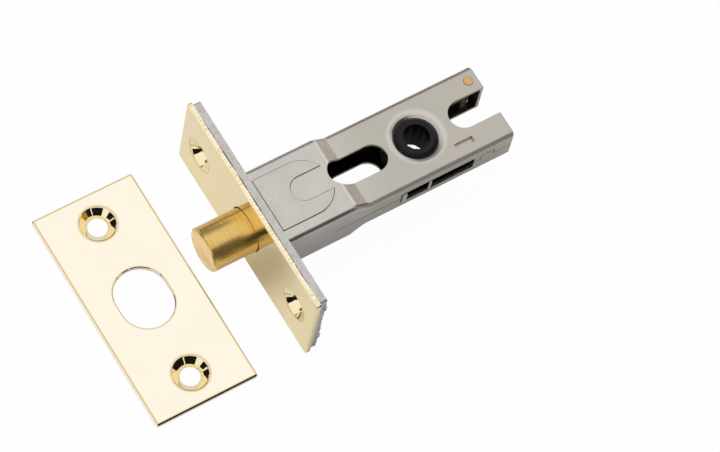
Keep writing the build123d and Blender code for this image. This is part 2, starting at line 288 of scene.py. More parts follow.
@once("Handled surface")
def handled_surface(name):
    """Slow, faint changes of colour and roughness, as on plate that has been handled and wiped."""
    group, w, given, out = shader_group(
        name,
        {"Color": (0.8, 0.8, 0.8, 1), "Roughness": 0.3, "Patch size": 6 * MM, "Tint": 0.03, "Sheen change": 0.05,
         "Speckle": 0.0}, ("Color", "Roughness"))
    point = w.point((-1200, 300))
    scale = w.calc("DIVIDE", 1.0, given.outputs["Patch size"], place=(-1000, 200))
    fine_scale = w.calc("MULTIPLY", scale, 22.0, place=(-1000, 450))
    cloud = w.add("ShaderNodeTexNoise", (-800, 250),
                  {"Vector": point, "Scale": scale, "Detail": 3.0, "Roughness": 0.55})
    dots = w.add("ShaderNodeTexNoise", (-800, 500),
                 {"Vector": point, "Scale": fine_scale, "Detail": 2.0, "Roughness": 0.7})
    centred = w.calc("SUBTRACT", cloud.outputs["Fac"], 0.5, place=(-600, 250))
    dotted = w.calc("SUBTRACT", dots.outputs["Fac"], 0.5, place=(-600, 500))
    tint = w.calc("MULTIPLY_ADD", centred, given.outputs["Tint"], 1.0, place=(-400, 350))
    tint = w.calc("MULTIPLY_ADD", dotted, given.outputs["Speckle"], tint, place=(-200, 400))
    shade = w.add("ShaderNodeVectorMath", (0, 300), {0: given.outputs["Color"], "Scale": tint}, operation="SCALE")
    w.join(shade.outputs["Vector"], out.inputs["Color"])
    sheen = w.calc("MULTIPLY_ADD", centred, given.outputs["Sheen change"], given.outputs["Roughness"],
                   place=(0, 50))
    w.join(sheen, out.inputs["Roughness"])
    return group


@once("Fine grain")
def fine_grain(name):
    """Grain as a height, longer along one direction, for brushed, rolled or shot surfaces."""
    group, w, given, out = shader_group(name, {"Size": 0.2 * MM, "Stretch": (1, 1, 1), "Detail": 4.0},
                                        ("Height",))
    stretched = w.add("ShaderNodeVectorMath", (-950, 200),
                      {0: w.point((-1200, 200)), 1: given.outputs["Stretch"]}, operation="MULTIPLY")
    scale = w.calc("DIVIDE", 1.0, given.outputs["Size"], place=(-950, 0))
    grain = w.add("ShaderNodeTexNoise", (-600, 150),
                  {"Vector": stretched.outputs["Vector"], "Scale": scale, "Detail": given.outputs["Detail"],
                   "Roughness": 0.6})
    w.join(grain.outputs["Fac"], out.inputs["Height"])
    return group


@once("Case hollow")
def case_hollow(name):
    """1 on the outer skin of the case, falling to 0 on all that faces its hollow, where painted shade and grease
    go.
    """
    group, w, given, out = shader_group(name, {"Skin": 0.5 * MM, "Hollow": 0.88 * MM}, ("Open",))
    x, y, z = w.place_of((-1600, 300))
    half = w.ramp(x, RAMP_X, RAMP_END_X, HALF_FRONT, HALF_REAR, smooth=False, place=(-1000, 400))
    below = w.calc("SUBTRACT", half, w.size(z, (-1000, 150)), place=(-800, 300))
    beside = w.calc("SUBTRACT", HALF_WIDTH, w.size(y, (-1000, 0)), place=(-800, 100))
    behind = w.calc("SUBTRACT", REAR_X, x, place=(-800, -50))
    depth = w.calc("MINIMUM", w.calc("MINIMUM", below, beside, place=(-600, 200)), behind, place=(-450, 100))
    skin = w.ramp(depth, given.outputs["Skin"], given.outputs["Hollow"], 1.0, 0.0, place=(-250, 100))
    dish = w.ramp(w.length(x, y, (-600, -250)), DISH_RADIUS, DISH_RADIUS + 0.3 * MM, 1.0, 0.0, place=(-400, -250))
    dish = w.calc("MULTIPLY", dish, w.ramp(below, 0.75 * MM, 1.5 * MM, 1.0, 0.0, place=(-400, -450)),
                  place=(-200, -300))
    lance = w.calc("LESS_THAN", below, 0.88 * MM, place=(-600, -900))
    for value, middle, reach, row in zip((x, y), LANCE_MIDDLE, LANCE_HALVES, (-600, -750)):
        off = w.size(w.calc("SUBTRACT", value, middle, place=(-1000, row)), (-800, row))
        lance = w.calc("MULTIPLY", lance, w.calc("LESS_THAN", off, reach, place=(-600, row)), place=(-300, row))
    shown = w.calc("MAXIMUM", w.calc("MAXIMUM", skin, dish, place=(0, 0)), lance, place=(200, 0))
    w.join(shown, out.inputs["Open"])
    return group


@once("Plate rim")
def plate_rim(name):
    """1 round the outline, the holes and the countersinks of a plate, where a deeper gold reflection is painted.
    """
    group, w, given, out = shader_group(
        name,
        {"Centre": (0, 0, 0), "Across": (1, 0, 0), "Outward": (0, 0, 1), "Half width": HALF_PLATE,
         "Half length": HALF_LENGTH, "Hole radius": BOLT_HOLE, "Hole stretch": 0.0, "Width": 0.4 * MM},
        ("Rim", "Sink"))
    away = w.add("ShaderNodeVectorMath", (-1700, 300), {0: w.point((-1900, 300)), 1: given.outputs["Centre"]},
                 operation="SUBTRACT")

    def along(direction, place):
        return w.add("ShaderNodeVectorMath", place, {0: away.outputs["Vector"], 1: direction},
                     operation="DOT_PRODUCT").outputs["Value"]

    u = w.size(along(given.outputs["Across"], (-1500, 400)), (-1350, 400))
    v = w.size(along((0, 1, 0), (-1500, 200)), (-1350, 200))
    height = along(given.outputs["Outward"], (-1500, 0))
    past = w.calc("MAXIMUM", w.calc("SUBTRACT", u, given.outputs["Half width"], place=(-1200, 400)),
                  w.calc("SUBTRACT", v, given.outputs["Half length"], place=(-1200, 250)), place=(-1050, 350))
    inner = w.calc("MULTIPLY", given.outputs["Width"], -1.0, place=(-1050, 200))
    outline = w.ramp(past, inner, w.calc("MULTIPLY", inner, 0.5, place=(-900, 200)), place=(-750, 350))
    screw_v = w.calc("SUBTRACT", v, SCREW_Y, place=(-1200, 0))
    screw = w.length(screw_v, u, (-900, -50))
    ring = w.ramp(w.size(w.calc("SUBTRACT", screw, SINK_RADIUS, place=(-750, -50)), (-600, -50)),
                  0.0, given.outputs["Width"], 0.75, 0.0, place=(-400, -50))
    sink = w.ramp(screw, SINK_RADIUS - 0.3 * MM, SINK_RADIUS + 0.1 * MM, 1.0, 0.0, place=(-400, -250))
    long_v = w.calc("MAXIMUM", w.calc("SUBTRACT", v, given.outputs["Hole stretch"], place=(-1200, -400)), 0.0,
                    place=(-1050, -400))
    hole = w.length(long_v, u, (-750, -450))
    lip = w.ramp(w.calc("SUBTRACT", hole, given.outputs["Hole radius"], place=(-600, -500)),
                 0.05 * MM, w.calc("MULTIPLY", given.outputs["Width"], 0.8, place=(-600, -650)), 1.0, 0.0,
                 place=(-400, -500))
    rims = w.calc("MAXIMUM", w.calc("MAXIMUM", outline, ring, place=(-200, 200)), lip, place=(0, 100))
    face = w.ramp(height, -0.16 * MM, -0.08 * MM, place=(0, -150))
    w.join(w.calc("MULTIPLY", rims, face, place=(300, 100)), out.inputs["Rim"])
    w.join(sink, out.inputs["Sink"])
    return group


@once("Joint line")
def joint_line(name):
    """The strength in a thin, uneven line on the long edges, where two plates meet on a plane across X."""
    group, w, given, out = shader_group(
        name, {"Place": FOREND_X, "Width": 0.12 * MM, "Reach": 24 * MM, "Strength": 0.9}, ("Line",))
    x, y, z = w.place_of((-1600, 300))
    wander = w.add("ShaderNodeTexNoise", (-1200, -200),
                   {"Vector": w.point((-1600, 0)), "Scale": 260.0, "Detail": 4.0, "Roughness": 0.65})
    away = w.size(w.calc("SUBTRACT", x, given.outputs["Place"], place=(-900, 300)), (-750, 300))
    wide = w.calc("MULTIPLY", given.outputs["Width"],
                  w.ramp(wander.outputs["Fac"], 0.38, 0.62, 0.35, 1.5, place=(-900, -200)), place=(-700, -100))
    line = w.ramp(away, w.calc("MULTIPLY", wide, 0.6, place=(-550, 0)), wide, 1.0, 0.0, place=(-400, 200))
    tapered = w.ramp(w.size(y, (-900, 100)),
                     w.calc("SUBTRACT", given.outputs["Reach"], 1.0 * MM, place=(-900, 0)),
                     given.outputs["Reach"], 1.0, 0.0, place=(-500, -300))
    at_edge = w.calc("GREATER_THAN", w.size(z, (-900, -400)), HALF_PLATE - 0.3 * MM, place=(-700, -400))
    for place, factor in enumerate((tapered, at_edge, given.outputs["Strength"])):
        line = w.calc("MULTIPLY", line, factor, place=(150 * place, 100))
    w.join(line, out.inputs["Line"])
    return group


def blank(name):
    """A material with nothing in it but its output."""
    material = bpy.data.materials.new(name)
    material.use_nodes = True
    material.node_tree.nodes.clear()
    w = Wiring(material.node_tree)
    return material, w, w.add("ShaderNodeOutputMaterial", (600, 0))


def surface_finish(name, colour, roughness, patch, tint, sheen, grain, bump, stretch=(1, 1, 1),
                   depth=0.02 * MM, speckle=0.0, metallic=1.0):
    """A handled surface: slow patches of colour and sheen, fine speckles, and grain in relief."""
    material, w, out = blank(name)
    handled = w.add("ShaderNodeGroup", (-500, 100),
                    {"Color": (*colour, 1), "Roughness": roughness, "Patch size": patch, "Tint": tint,
                     "Sheen change": sheen, "Speckle": speckle}, node_tree=handled_surface())
    relief = w.add("ShaderNodeBump", (-100, -250),
                   {"Strength": bump, "Distance": depth, "Height": w.grain(grain, stretch, (-500, -250))})
    shader = w.add("ShaderNodeBsdfPrincipled", (300, 0),
                   {"Base Color": handled.outputs["Color"], "Roughness": handled.outputs["Roughness"],
                    "Metallic": metallic, "Normal": relief.outputs["Normal"]})
    w.join(shader.outputs[0], out.inputs["Surface"])
    return material


def moulded(name, colour, roughness, shine, tint, sheen, bump):
    """A black plastic with a faint shine."""
    material = surface_finish(name, colour, roughness, patch=3 * MM, tint=tint, sheen=sheen, grain=0.25 * MM,
                              bump=bump, metallic=0.0)
    material.node_tree.nodes["Principled BSDF"].inputs["Specular IOR Level"].default_value = shine
    return material


def tint_where(material, mask, colour, place=(-100, 300)):
    """Turns the base colour of a material to another where the mask is 1."""
    w = Wiring(material.node_tree)
    base = w.tree.nodes["Principled BSDF"].inputs["Base Color"]
    mix = w.add("ShaderNodeMix", place, {"Factor": mask, "A": base.links[0].from_socket, "B": (*colour, 1)},
                data_type="RGBA")
    w.join(mix.outputs["Result"], base)


def shade_oily_hollow(material, colour, skin=0.5 * MM, hollow=0.88 * MM, open_end=0.0):
    """Paints shade, with some grease, on the inside of the case; open_end is the share that its rear end is
    spared.
    """
    w = Wiring(material.node_tree)
    inside = w.add("ShaderNodeGroup", (-700, 500), {"Skin": skin, "Hollow": hollow}, node_tree=case_hollow())
    shut = w.calc("SUBTRACT", 1.0, inside.outputs["Open"], place=(-450, 500))
    to_end = w.ramp(w.place_of((-1100, 800))[0], REAR_X - 10 * MM, REAR_X - 6 * MM, 1.0, 1.0 - open_end,
                    place=(-700, 750))
    tint_where(material, w.calc("MULTIPLY", shut, to_end, place=(-250, 600)), colour)


def shade_rear(material, colour, amount):
    """Paints shade on the rear of the case: a little darker and warmer than its front."""
    w = Wiring(material.node_tree)
    along = w.place_of((-1100, 1000))[0]
    tint_where(material, w.ramp(along, RAMP_X - 4 * MM, RAMP_X + 14 * MM, 0.0, amount, place=(-700, 1000)), colour)


def mark_ramp_and_highlights(material, ramp_tone, bright):
    """The case's step: a darker, browner ramp, and painted highlights on the bend before it and round the hub's
    dish.
    """
    w = Wiring(material.node_tree)
    along, aside, height = w.place_of((-1500, 1400))
    half = w.ramp(along, RAMP_X, RAMP_END_X, HALF_FRONT, HALF_REAR, smooth=False, place=(-1200, 2000))
    below = w.calc("SUBTRACT", half, w.size(height, (-1200, 2200)), place=(-1000, 2100))
    outside = w.ramp(below, 0.15 * MM, 0.6 * MM, 1.0, 0.0, place=(-800, 2100))

    # A darker, browner, grainy tone on the ramp
    ramp = w.calc("MULTIPLY", w.ramp(along, RAMP_X + 0.1 * MM, RAMP_X + 0.5 * MM, place=(-1200, 1400)),
                  w.ramp(along, RAMP_END_X - 0.5 * MM, RAMP_END_X + 0.1 * MM, 1.0, 0.0, place=(-1200, 1200)),
                  place=(-1000, 1300))
    ramp_grain = w.ramp(w.grain(0.35 * MM, (0.6, 1, 0.6), (-1200, 1600)), 0.35, 0.62, 0.35, 0.95,
                    place=(-1000, 1600))
    # Painted highlight along the bend before the ramp
    from_bend = w.size(w.calc("SUBTRACT", along, RAMP_X - 0.05 * MM, place=(-1200, 1800)), (-1000, 1800))
    bend = w.ramp(from_bend, 0.05 * MM, 0.4 * MM, 0.6, 0.0, place=(-800, 1800))
    # Painted highlight in a ring on the hub's dish
    from_ring = w.size(w.calc("SUBTRACT", w.length(along, aside, (-900, 2400)), DISH_RADIUS - 0.7 * MM,
                              place=(-800, 2400)), (-700, 2400))
    ring = w.ramp(from_ring, 0.1 * MM, 1.1 * MM, 0.42, 0.0, place=(-600, 2400))
    for mask, colour, row in ((w.calc("MULTIPLY", ramp, ramp_grain, place=(-800, 1400)), ramp_tone, 1400),
                              (bend, bright, 1800), (ring, bright, 2400)):
        tint_where(material, w.calc("MULTIPLY", mask, outside, place=(-500, row)), colour, (-200, row))


def line_at_joint(material):
    """Draws the dark joint between the faceplate and the back plate on one of them."""
    w = Wiring(material.node_tree)
    joint = w.add("ShaderNodeGroup", (-700, 700), node_tree=joint_line())
    tint_where(material, joint.outputs["Line"], JOINT_DIRT, (-50, 500))


def mark_sheared_edge(material, settings):
    """Paler long edges on the faceplate, with the fine cross lines that the shear left."""
    w = Wiring(material.node_tree)
    height = w.size(w.place_of((-1500, 1200))[2], (-1200, 1200))
    edge = w.ramp(height, HALF_PLATE - 0.07 * MM, HALF_PLATE - 0.03 * MM, place=(-1000, 1200))
    tint_where(material, w.calc("MULTIPLY", edge, 0.8, place=(-800, 1200)), settings.edge, (-400, 900))
    cross = w.ramp(w.grain(0.32 * MM, (0.15, 1, 0.15), (-1200, 1000)), 0.47, 0.62, 0.0, 0.55, place=(-1000, 1000))
    tint_where(material, w.calc("MULTIPLY", edge, cross, place=(-800, 1000)), settings.rim_sheen_and_shear_marks, (-200, 900))


def polished_plate(name, colour, settings, rims):
    """Mirror-bright brass with a painted deeper, softer gold reflection on its arrises, hole lips and dimples."""
    material = surface_finish(name, colour, settings.polish, patch=14 * MM, tint=0.04, sheen=0.02,
                              grain=1.2 * MM, bump=0.02, depth=0.01 * MM)
    w = Wiring(material.node_tree)
    rim = w.add("ShaderNodeGroup", (-900, 700), rims, node_tree=plate_rim())
    # Painted deeper-gold reflection inside the dimples and on the rims
    for part, gold, row in (("Sink", settings.dimple, 550), ("Rim", settings.rim_sheen_and_shear_marks, 700)):
        mask = w.calc("MULTIPLY", rim.outputs[part], 0.85, place=(-700, row))
        tint_where(material, mask, gold, (-300, row))
    return material


def turned_brass(settings):
    """Brass off a lathe: even rings along the bolt, with tool marks in relief and in colour."""
    material = surface_finish("turned_brass", settings.turned, settings.satin, patch=4 * MM, tint=0.08,
                              sheen=0.02, grain=0.10 * MM, bump=0.03, speckle=0.05)
    w = Wiring(material.node_tree)
    rings = w.add("ShaderNodeTexWave", (-650, -500),
                  {"Vector": w.point((-900, -500)), "Scale": 1 / settings.turning_pitch / 6.3,
                   "Distortion": 1.5, "Detail": 2.0, "Detail Scale": 0.6}, bands_direction="X")
    marks = w.add("ShaderNodeBump", (100, -450),
                  {"Strength": 0.22, "Distance": 0.02 * MM, "Height": rings.outputs["Fac"],
                   "Normal": w.tree.nodes["Bump"].outputs["Normal"]})
    w.join(marks.outputs["Normal"], w.tree.nodes["Principled BSDF"].inputs["Normal"])
    scratches = w.grain(0.07 * MM, (1, 0.015, 0.015), (-900, 700))
    tint_where(material, w.ramp(scratches, 0.4, 0.65, 0.0, 0.5, place=(-600, 700)), settings.scratched)
    return material


# Meshes


def placed(name, mesh):
    """Links a new object that holds a mesh."""
    piece = bpy.data.objects.new(name, mesh)
    bpy.context.scene.collection.objects.link(piece)
    return piece


def welded(node_name):
    """A merged copy of a CAD node's mesh, its flat faces joined."""
    mesh = bmesh.new()
    mesh.from_mesh(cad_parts[node_name].data)
    bmesh.ops.remove_doubles(mesh, verts=mesh.verts, dist=0.002 * MM)
    bmesh.ops.dissolve_limit(mesh, angle_limit=math.radians(0.6), verts=mesh.verts, edges=mesh.edges)
    return mesh


def soften(mesh, offset, segments, sharper_than, where):
    """Rounds the edges that turn by more than an angle, where a test on their middle holds."""
    chosen = [edge for edge in mesh.edges
              if edge.is_manifold and edge.calc_face_angle(0) > math.radians(sharper_than)
              and where((edge.verts[0].co + edge.verts[1].co) / 2)]
    bmesh.ops.bevel(mesh, geom=chosen, offset=offset, offset_type="OFFSET", segments=segments, profile=0.5,
                    affect="EDGES", clamp_overlap=True)


def stand_in(name, node_name, mesh, materials, body):
    """Puts a finished mesh in the place of the CAD node that it was made from."""
    for face in mesh.faces:
        face.smooth = True
    broad = {face for face in mesh.faces if face.calc_area() > 8 * MM * MM}
    for edge in mesh.edges:
        turn = edge.calc_face_angle(0)
        flat_side = turn > math.radians(0.5) and any(face in broad for face in edge.link_faces)
        edge.smooth = not edge.is_manifold or (turn < math.radians(32) and not flat_side)
    data = bpy.data.meshes.new(name)
    mesh.to_mesh(data)
    mesh.free()
    for material in materials:
        data.materials.append(material)
    piece = placed(name, data)
    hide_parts(node_name)
    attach(piece, body)


def off_dimples(point, centre, across):
    """Whether a point of a plate lies outside both of its dimples."""
    return math.hypot(point[across] - centre[across], abs(point.y - centre[1]) - SCREW_Y) > DIMPLE_REACH


def dimple_depth(radius):
    """Depth of pressed sheet at a distance from the screw's axis: a soft mouth, a cone and a steeper throat."""
    steps = 60
    depth = 0.0
    for index in range(steps):
        at = MOUTH_RADIUS - (index + 0.5) / steps * (MOUTH_RADIUS - radius)
        into = min((MOUTH_RADIUS - at) / (0.55 * MM), 1)
        throat = min(max((THROAT_RADIUS - at) / (0.5 * MM), 0), 1)
        slope = CONE_SLOPE * into * into * (3 - 2 * into) + THROAT_SLOPE * throat * throat * (3 - 2 * throat)
        depth += math.tan(math.radians(slope)) * (MOUTH_RADIUS - radius) / steps
    return depth


def zip_rings(mesh, one, other):
    """Closes the gap between two rings of corners round one axis; each corner comes with its angle."""
    i = j = 0
    while i < len(one) or j < len(other):
        next_one = one[(i + 1) % len(one)][0] + (2 * math.pi if i + 1 >= len(one) else 0)
        next_other = other[(j + 1) % len(other)][0] + (2 * math.pi if j + 1 >= len(other) else 0)
        here, there = one[i % len(one)][1], other[j % len(other)][1]
        if j == len(other) or (i < len(one) and next_one <= next_other):
            mesh.faces.new((here, one[(i + 1) % len(one)][1], there))
            i += 1
        else:
            mesh.faces.new((here, other[(j + 1) % len(other)][1], there))
            j += 1


def press_dimples(mesh, centre, outward):
    """Turns the plain countersinks of a plate into dimples of pressed sheet."""
    centre, outward, along = Vector(centre), Vector(outward), Vector((0, 1, 0))
    aside = outward.cross(along)
    near = 0.04 * MM
    turns = [2 * math.pi * (index + 0.5) / DIMPLE_TURNS - math.pi for index in range(DIMPLE_TURNS)]
    for side in (1, -1):
        axis = centre + side * SCREW_Y * along

        def away(point):
            offset = point - axis
            return (offset - offset.dot(outward) * outward).length

        def sunk(point):
            return (axis - point).dot(outward)

        def by_angle(edges):
            corners = {v for edge in edges for v in edge.verts}
            return sorted(((math.atan2((v.co - axis).dot(along), (v.co - axis).dot(aside)), v) for v in corners),
                          key=lambda pair: pair[0])

        def lines_hole(vertex):
            r, depth = away(vertex.co), sunk(vertex.co)
            return r < SINK_RADIUS + near and (abs(depth - (SINK_RADIUS - r)) < near or abs(r - SCREW_HOLE) < near)

        wall = [face for face in mesh.faces
                if all(lines_hole(v) for v in face.verts) and abs(face.normal.dot(outward)) < 0.95]
        bmesh.ops.delete(mesh, geom=wall, context="FACES")
        open_edges = [edge for edge in mesh.edges if edge.is_boundary]
        mouth = [edge for edge in open_edges if all(abs(sunk(v.co)) < near and away(v.co) < SINK_RADIUS + near
                                                    for v in edge.verts)]
        throat = [edge for edge in open_edges if all(abs(away(v.co) - SCREW_HOLE) < near for v in edge.verts)]
        for vertex in {v for edge in mouth for v in edge.verts}:
            vertex.co = axis + (vertex.co - axis) * ((MOUTH_RADIUS + 0.06 * MM) / away(vertex.co))
        rings = []
        for row in range(DIMPLE_ROWS + 1):
            radius = MOUTH_RADIUS + (SCREW_HOLE - MOUTH_RADIUS) * row / DIMPLE_ROWS
            drop = axis - outward * dimple_depth(radius)
            rings.append([mesh.verts.new(drop + radius * (math.cos(turn) * aside + math.sin(turn) * along))
                          for turn in turns])
        for upper, lower in zip(rings, rings[1:]):
            for index in range(DIMPLE_TURNS):
                after = (index + 1) % DIMPLE_TURNS
                mesh.faces.new((upper[index], upper[after], lower[after], lower[index]))
        zip_rings(mesh, list(zip(turns, rings[0])), by_angle(mouth))
        zip_rings(mesh, list(zip(turns, rings[-1])), by_angle(throat))
    bmesh.ops.recalc_face_normals(mesh, faces=mesh.faces)


def dress(names, material):
    """Gives CAD nodes their finish."""
    for name in names:
        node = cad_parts[name]
        node.data.materials.clear()
        node.data.materials.append(material)


# Burrs


def burr_tree(material):
    """Small rounded lumps strung along the edges that they are given."""
    tree = bpy.data.node_groups.new("Burr row", "GeometryNodeTree")
    sockets = tree.interface
    sockets.new_socket(name="Edges", in_out="INPUT", socket_type="NodeSocketGeometry")
    for label, kind, value in (("Spacing", "NodeSocketFloat", 0.75 * MM), ("Size", "NodeSocketFloat", 0.24 * MM),
                               ("Seed", "NodeSocketInt", 7)):
        sockets.new_socket(name=label, in_out="INPUT", socket_type=kind).default_value = value
    sockets.new_socket(name="Burrs", in_out="OUTPUT", socket_type="NodeSocketGeometry")
    w = Wiring(tree)
    given = w.add("NodeGroupInput", (-900, 0))
    out = w.add("NodeGroupOutput", (900, 0))
    path = w.add("GeometryNodeMeshToCurve", (-700, 100), {0: given.outputs["Edges"]})
    dotted = w.add("GeometryNodeResampleCurve", (-500, 100),
                   {"Curve": path.outputs[0], "Length": given.outputs["Spacing"]}, mode="LENGTH")
    lump = w.add("GeometryNodeMeshIcoSphere", (-500, -150), {"Radius": 1.0, "Subdivisions": 2})
    smooth = w.add("GeometryNodeSetShadeSmooth", (-300, -150), {0: lump.outputs["Mesh"]})
    turn = w.add("FunctionNodeRandomValue", (-300, -350),
                 {"Min": (0, 0, 0), "Max": (6.28, 6.28, 6.28), "Seed": given.outputs["Seed"]},
                 data_type="FLOAT_VECTOR")
    shape = w.add("FunctionNodeRandomValue", (-500, -600),
                  {"Min": (0.3, 0.3, 0.3), "Max": (1.0, 1.3, 1.0), "Seed": given.outputs["Seed"]},
                  data_type="FLOAT_VECTOR")
    wide = w.add("ShaderNodeVectorMath", (-250, -600),
                 {0: shape.outputs["Value"], "Scale": given.outputs["Size"]}, operation="SCALE")
    strung = w.add("GeometryNodeInstanceOnPoints", (0, 100),
                   {"Points": dotted.outputs[0], "Instance": smooth.outputs[0],
                    "Rotation": turn.outputs["Value"], "Scale": wide.outputs["Vector"]})
    solid = w.add("GeometryNodeRealizeInstances", (250, 100), {0: strung.outputs["Instances"]})
    plated = w.add("GeometryNodeSetMaterial", (450, 100), {0: solid.outputs[0], "Material": material})
    w.join(plated.outputs[0], out.inputs["Burrs"])
    return tree


def grown(name, points, edges, tree, values):
    """Runs a Geometry Nodes tree on loose edges and keeps the plain mesh that it makes."""
    wire = bpy.data.meshes.new(name + "_path")
    wire.from_pydata(points, edges, [])
    carrier = placed(name + "_path", wire)
    modifier = carrier.modifiers.new("grow", "NODES")
    modifier.node_group = tree
    for item in tree.interface.items_tree:
        if item.item_type == "SOCKET" and item.in_out == "INPUT" and item.name in values:
            modifier[item.identifier] = values[item.name]
    graph = bpy.context.evaluated_depsgraph_get()
    mesh = bpy.data.meshes.new_from_object(carrier.evaluated_get(graph))
    mesh.name = name
    piece = placed(name, mesh)
    bpy.data.objects.remove(carrier)
    bpy.data.meshes.remove(wire)
    return piece


# Operators


class PRIVACYBOLT_OT_plates(bpy.types.Operator):
    """Polishes the faceplate and the keep plate"""

    bl_idname = "privacybolt.plates"
    bl_label = "Polish the plates"

    def execute(self, context):
        s = context.scene.privacy_bolt_brass
        # The keep plate's paler colour is a painted highlight on the same brass as the faceplate
        keep = polished_plate("keep_brass_highlit", s.keep, s,
                              {"Centre": KEEP_CENTRE, "Across": (1, 0, 0), "Outward": (0, 0, 1),
                               "Half width": HALF_KEEP, "Hole radius": KEEP_HOLE,
                               "Hole stretch": KEEP_HOLE_STRETCH, "Width": 0.66 * MM})
        mesh = welded("strike_plate")
        press_dimples(mesh, KEEP_CENTRE, (0, 0, 1))
        soften(mesh, 0.12 * MM, 3, 60, lambda p: off_dimples(p, KEEP_CENTRE, 0))
        stand_in("keep_plate", "strike_plate", mesh, [keep], "case")

        face = polished_plate("face_brass", s.face, s,
                              {"Centre": FACE_CENTRE, "Across": (0, 0, 1), "Outward": (-1, 0, 0),
                               "Width": 0.28 * MM})
        mark_sheared_edge(face, s)
        line_at_joint(face)
        mesh = welded("faceplate")
        press_dimples(mesh, FACE_CENTRE, (-1, 0, 0))
        soften(mesh, 0.1 * MM, 2, 30, lambda p: p.x < FOREND_X - 0.2 * MM and off_dimples(p, FACE_CENTRE, 2))
        stand_in("face_sheet", "faceplate", mesh, [face], "case")
        return {"FINISHED"}


class PRIVACYBOLT_OT_bolt(bpy.types.Operator):
    """Gives the bolt and the rivet their turned brass"""

    bl_idname = "privacybolt.bolt"
    bl_label = "Turn the bolt and rivet"

    def execute(self, context):
        s = context.scene.privacy_bolt_brass
        dress(["bolt"], turned_brass(s))
        rivet = surface_finish("rivet_brass", s.rivet, s.satin, patch=0.9 * MM, tint=0.5, sheen=0.2,
                               grain=0.12 * MM, bump=0.3, speckle=0.3)
        dress(["rear_rivet"], rivet)
        return {"FINISHED"}


class PRIVACYBOLT_OT_case(bpy.types.Operator):
    """Plates the pressed trays and the tail"""

    bl_idname = "privacybolt.case"
    bl_label = "Plate the case"

    def execute(self, context):
        s = context.scene.privacy_bolt_steel
        nickel = surface_finish("satin_nickel", s.nickel, s.satin, patch=5 * MM, tint=0.30, sheen=0.12,
                                grain=0.16 * MM, bump=0.35, stretch=(0.5, 1, 1), speckle=0.45)
        # Painted shade: the rear of the trays darker and warmer than the front
        shade_rear(nickel, s.rear_shade, 0.8)
        # Darker ramp, with painted highlights on the bend and the hub's dish
        mark_ramp_and_highlights(nickel, s.ramp_tone, s.bright)
        # Painted shade, with some grease, on what faces the case's hollow
        shade_oily_hollow(nickel, SHADED_OILY_TRAY, open_end=0.25)
        dress(["case_top", "case_bottom"], nickel)
        tail = surface_finish("tail_nickel", s.nickel, s.satin, patch=3 * MM, tint=0.12, sheen=0.08,
                              grain=0.16 * MM, bump=0.25, speckle=0.10)
        # Painted shade, with some grease, on the tail's parts inside the case
        shade_oily_hollow(tail, SHADED_OILY_TAIL, hollow=1.3 * MM)
        dress(["bolt_tail"], tail)
        return {"FINISHED"}


class PRIVACYBOLT_OT_back_plate(bpy.types.Operator):
    """Gives the forend's back plate its sheared steel and its burrs"""

    bl_idname = "privacybolt.back_plate"
    bl_label = "Shear the back plate"

    def execute(self, context):
        scene = context.scene
        s = scene.privacy_bolt_steel
        steel = surface_finish("sheared_steel", s.sheared, 0.40, patch=3 * MM, tint=0.6, sheen=0.15,
                               grain=0.45 * MM, bump=1.0, stretch=(1, 0.4, 1), depth=0.16 * MM, speckle=1.9)
        line_at_joint(steel)
        dress(["forend_plate"], steel)

        b = scene.privacy_bolt_burrs
        points, edges = [], []
        for end, high in ((1, BURR_ROW_END), (-1, HALF_PLATE)):
            first = len(points)
            points += [(CASE_X, end * HALF_FOREND, -HALF_PLATE), (CASE_X, end * HALF_FOREND, high)]
            edges.append((first, first + 1))
        burrs = grown("burrs", points, edges, burr_tree(steel),
                      {"Spacing": b.spacing, "Size": b.size, "Seed": b.seed})
        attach(burrs, "case")
        return {"FINISHED"}


class PRIVACYBOLT_OT_works(bpy.types.Operator):
    """Finishes the follower, the guide, the spring and the tail pin"""

    bl_idname = "privacybolt.works"
    bl_label = "Finish the works"

    def execute(self, context):
        scene = context.scene
        n = scene.privacy_bolt_nylon
        nylon = moulded("black_nylon", n.colour, n.roughness, shine=0.25, tint=0.3, sheen=0.10, bump=0.3)
        dress(["bolt_guide"], nylon)
        # Painted shade: a blacker, duller nylon on the socket's walls
        socket = moulded("shaded_socket_nylon", n.socket_shade, 0.40, shine=0.07, tint=0.2, sheen=0.08, bump=0.2)
        mesh = welded("follower")
        soften(mesh, 0.16 * MM, 3, 25, lambda p: abs(p.z) > HUB_SHOULDER)
        for face in mesh.faces:
            middle = face.calc_center_median()
            if math.hypot(middle.x, middle.y) < SOCKET_REACH and abs(face.normal.z) < 0.3:
                face.material_index = 1
        stand_in("follower_hub", "follower", mesh, [nylon, socket], "follower")
        strip = surface_finish("spring_strip", scene.privacy_bolt_steel.spring, 0.3, patch=3 * MM, tint=0.1,
                               sheen=0.05, grain=0.2 * MM, bump=0.2, stretch=(0.2, 1, 1))
        # Painted shade, with some grease, where the spring and the pin sit inside the case
        shade_oily_hollow(strip, SHADED_OILY_STRIP)
        dress(["detent_spring", "tail_pin"], strip)
        return {"FINISHED"}


# Stage


def seen_and_mirrored(w):
    """Two masks: what the camera sees, straight or through something clear, and what a metal mirrors."""
    path = w.add("ShaderNodeLightPath", (-600, 300))
    seen = w.calc("MAXIMUM", path.outputs["Is Camera Ray"], path.outputs["Is Transmission Ray"], place=(-300, 300))
    return seen, path.outputs["Is Glossy Ray"]


def blend(w, share, first, second, out):
    """Shows the second shader by its share and the first for the rest."""
    mix = w.add("ShaderNodeMixShader", (300, 0), {0: share, 1: first.outputs[0], 2: second.outputs[0]})
    w.join(mix.outputs[0], out.inputs["Surface"])


